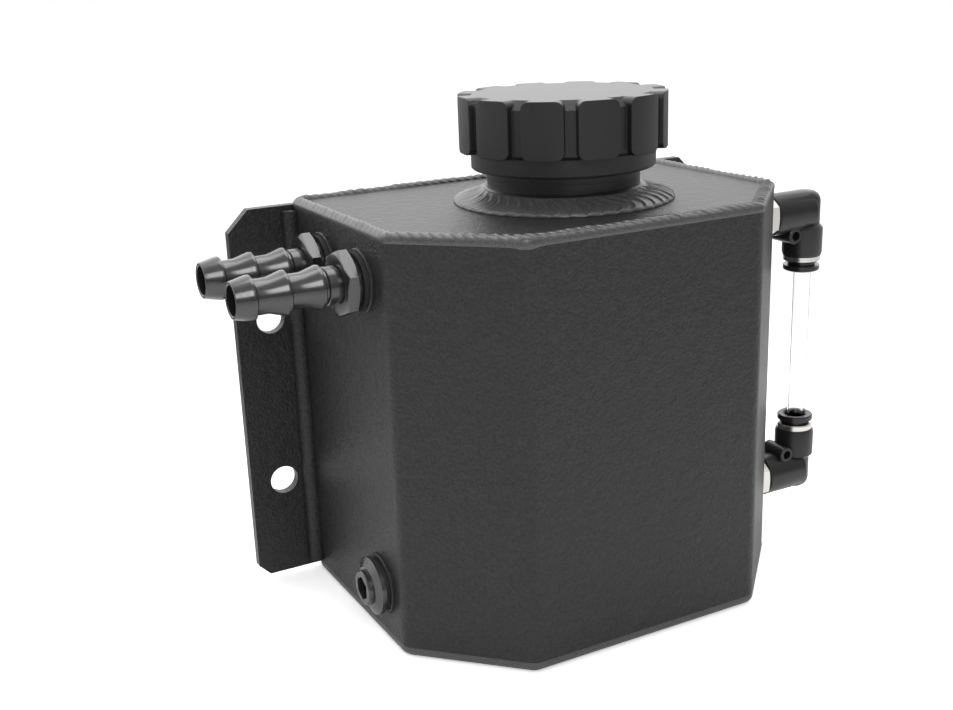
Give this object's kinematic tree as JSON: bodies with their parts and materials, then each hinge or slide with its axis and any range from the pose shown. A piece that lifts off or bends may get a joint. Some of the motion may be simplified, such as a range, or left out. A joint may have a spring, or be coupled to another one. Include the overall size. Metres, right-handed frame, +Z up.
{
  "type": "oil catch can",
  "caption": "Welded sheet catch can with a wall-bolting back plate, lobed screw filler cap, hose barbs, drain plug and push-in sight tube.",
  "frame": {"origin": "middle of the tank's base, on its underside, midway between the side walls and midway from the front wall to the back plate", "axes": "+X to the sight gauge's side, +Y to the back plate that bolts to the bulkhead, +Z up"},
  "size_m": [0.1863, 0.0929, 0.1452],
  "materials": {
    "powder_coat": "fine-grained satin black powder coat on sheet aluminium",
    "coated_weld": "satin black coat over a rippled weld bead",
    "black_anodised": "bead-blasted black anodising",
    "gloss_anodised": "turned, glossy black anodising",
    "nickel": "bright nickel-plated brass",
    "spring_steel": "plain stainless spring strip",
    "black_plastic": "satin black glass-filled moulding",
    "collet_plastic": "smooth black acetal",
    "clear_tube": "clear polyurethane tube",
    "rubber": "black nitrile rubber"
  },
  "bodies": {
    "tank": {"tank_shell": "powder_coat", "back_plate": "powder_coat", "top_plate": "powder_coat", "base_plate": "powder_coat", "lid_weld": "coated_weld", "base_weld": "coated_weld", "side_welds": "coated_weld", "neck_weld": "coated_weld", "filler_neck": "black_anodised", "barb_bung_front": "powder_coat", "barb_bung_rear": "powder_coat", "barb_seal_front": "rubber", "barb_seal_rear": "rubber", "hose_barb_front": "gloss_anodised", "hose_barb_rear": "gloss_anodised", "drain_bung": "powder_coat", "sight_bung_top": "powder_coat", "sight_bung_bottom": "powder_coat", "elbow_stud_top": "nickel", "elbow_stud_bottom": "nickel", "stud_seal_top": "rubber", "stud_seal_bottom": "rubber", "elbow_body_top": "black_plastic", "elbow_body_bottom": "black_plastic", "tube_seal_top": "rubber", "tube_seal_bottom": "rubber", "grip_ring_top": "spring_steel", "grip_ring_bottom": "spring_steel", "port_ring_top": "nickel", "port_ring_bottom": "nickel", "sight_tube": "clear_tube"},
    "cap_gasket": {"cap_gasket": "rubber"},
    "cap": {"filler_cap": "black_anodised"},
    "drain_seal": {"drain_seal": "rubber"},
    "drain_plug": {"drain_plug": "gloss_anodised"},
    "collet_top": {"release_collet_top": "collet_plastic"},
    "collet_bottom": {"release_collet_bottom": "collet_plastic"}
  },
  "joints": [
    {"name": "cap_lift", "type": "slide", "parent": "tank", "child": "cap_gasket", "axis": [0, 0, 1], "range_m": [0, 0.008]},
    {"name": "cap_turn", "type": "hinge", "parent": "cap_gasket", "child": "cap", "pos_m": [0.002, 0, 0.138], "axis": [0, 0, 1], "range_deg": [0, 1440]},
    {"name": "drain_back_out", "type": "slide", "parent": "tank", "child": "drain_seal", "axis": [-1, 0, 0], "range_m": [0, 0.0075]},
    {"name": "drain_turn", "type": "hinge", "parent": "drain_seal", "child": "drain_plug", "pos_m": [-0.062, -0.005, 0.0163], "axis": [-1, 0, 0], "range_deg": [0, 1800]},
    {"name": "collet_top_press", "type": "slide", "parent": "tank", "child": "collet_top", "axis": [0, 0, 1], "range_m": [0, 0.001], "stiffness_N_per_m": 400},
    {"name": "collet_bottom_press", "type": "slide", "parent": "tank", "child": "collet_bottom", "axis": [0, 0, -1], "range_m": [0, 0.001], "stiffness_N_per_m": 400}
  ],
  "couplings": [
    {"joint": "cap_lift", "follows": "cap_turn", "m_per_rad": 0.00031831},
    {"joint": "drain_back_out", "follows": "drain_turn", "m_per_rad": 0.00023873}
  ]
}
